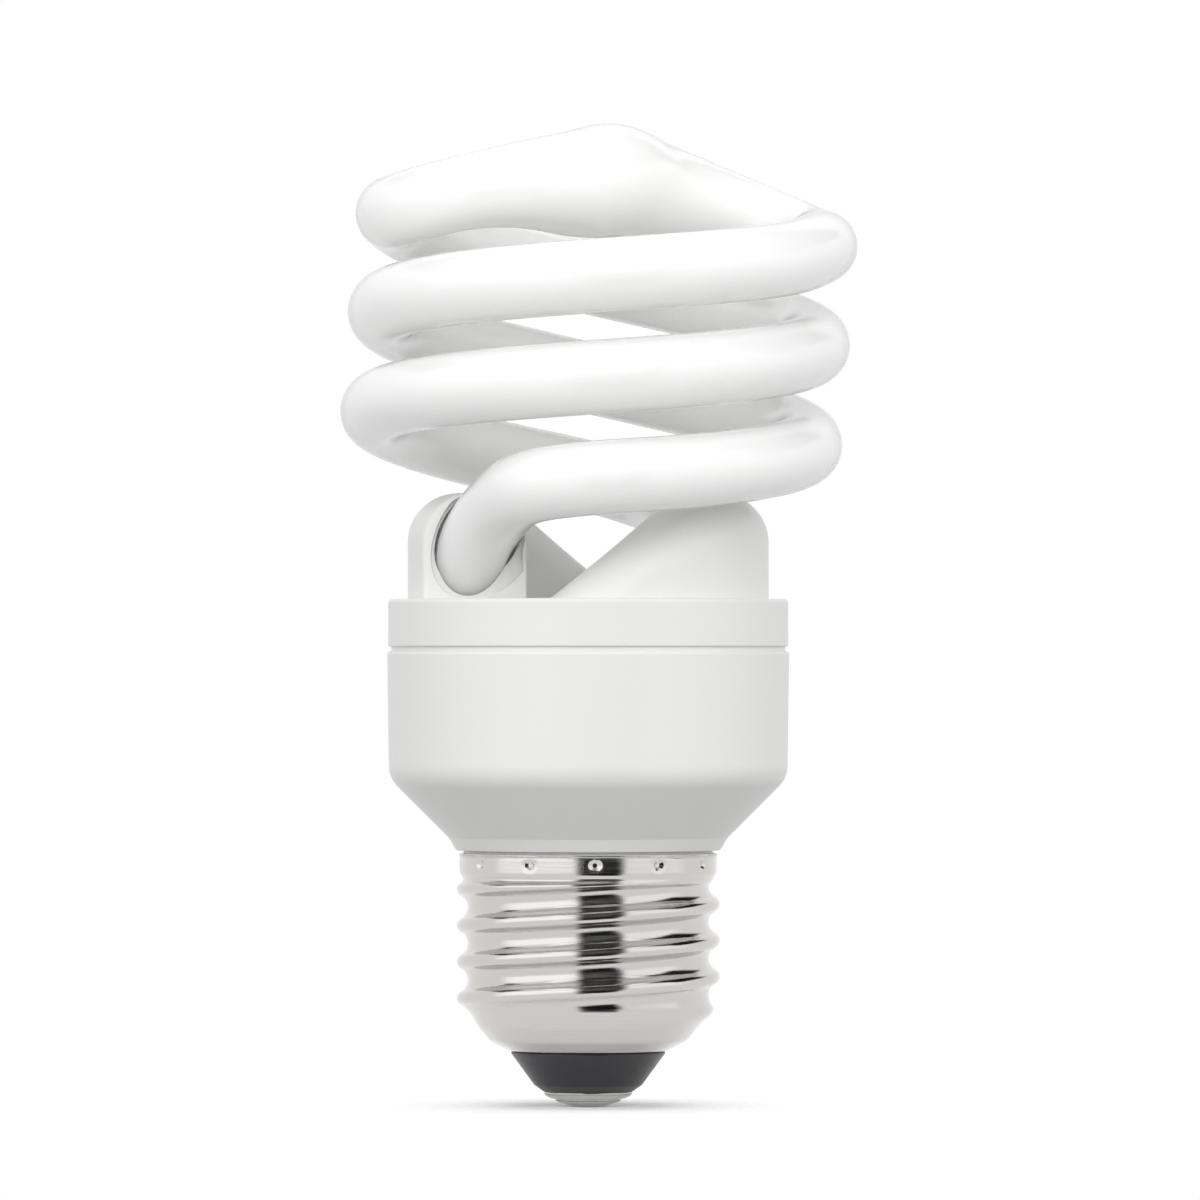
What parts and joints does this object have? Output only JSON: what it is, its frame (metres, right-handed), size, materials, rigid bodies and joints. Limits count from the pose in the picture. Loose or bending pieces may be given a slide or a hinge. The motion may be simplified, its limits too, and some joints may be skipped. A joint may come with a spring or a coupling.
{
  "type": "spiral energy saving bulb",
  "caption": "Compact fluorescent lamp with a double spiral tube on a round ballast housing with an E27 screw cap.",
  "frame": {"origin": "middle of the flat bottom of the centre contact, on the lamp's axis", "axes": "+Z along the lamp's axis from the cap to the spiral, -Y towards the side that the picture shows, +X to its right"},
  "size_m": [0.0516, 0.0507, 0.0982],
  "materials": {
    "phosphor_glass": "glossy clear glass over a white phosphor coat inside, opaque",
    "white_plastic": "moulded PBT, satin gloss",
    "white_putty": "set putty",
    "nickel_plate": "nickel-plated brass sheet, bright",
    "black_glass": "dark pressed glass",
    "contact_metal": "nickel-plated brass, bright",
    "solder": "tin solder, smooth",
    "board_laminate": "phenolic paper laminate",
    "capacitor_sleeve": "shrunk sleeve",
    "ferrite": "sintered ferrite",
    "bobbin_plastic": "moulded bobbin",
    "enamelled_copper": "enamelled copper wire",
    "black_epoxy": "moulded epoxy",
    "blue_epoxy": "dipped lacquer",
    "resistor_lacquer": "lacquer",
    "film_epoxy": "dipped epoxy",
    "tinned_wire": "tinned wire",
    "red_insulation": "PVC insulation",
    "black_insulation": "PVC insulation"
  },
  "bodies": {
    "root": {"discharge_tube": "phosphor_glass", "tube_holder": "white_plastic", "ballast_housing": "white_plastic", "tube_cement": "white_putty", "screw_shell": "nickel_plate", "cap_insulator": "black_glass", "centre_contact": "contact_metal", "contact_solder": "solder", "circuit_board": "board_laminate", "smoothing_capacitor": "capacitor_sleeve", "choke_core": "ferrite", "choke_bobbin": "bobbin_plastic", "choke_winding": "enamelled_copper", "transformer_core": "ferrite", "transformer_windings": "enamelled_copper", "upper_transistor": "black_epoxy", "lower_transistor": "black_epoxy", "rectifier_diodes": "black_epoxy", "trigger_diac": "blue_epoxy", "base_resistors": "resistor_lacquer", "fusible_resistor": "resistor_lacquer", "preheat_thermistor": "blue_epoxy", "resonant_capacitor": "film_epoxy", "coupling_capacitor": "film_epoxy", "suppression_capacitor": "film_epoxy", "winding_pins": "tinned_wire", "filament_leads": "tinned_wire", "live_wire": "red_insulation", "neutral_wire": "black_insulation"}
  },
  "joints": []
}
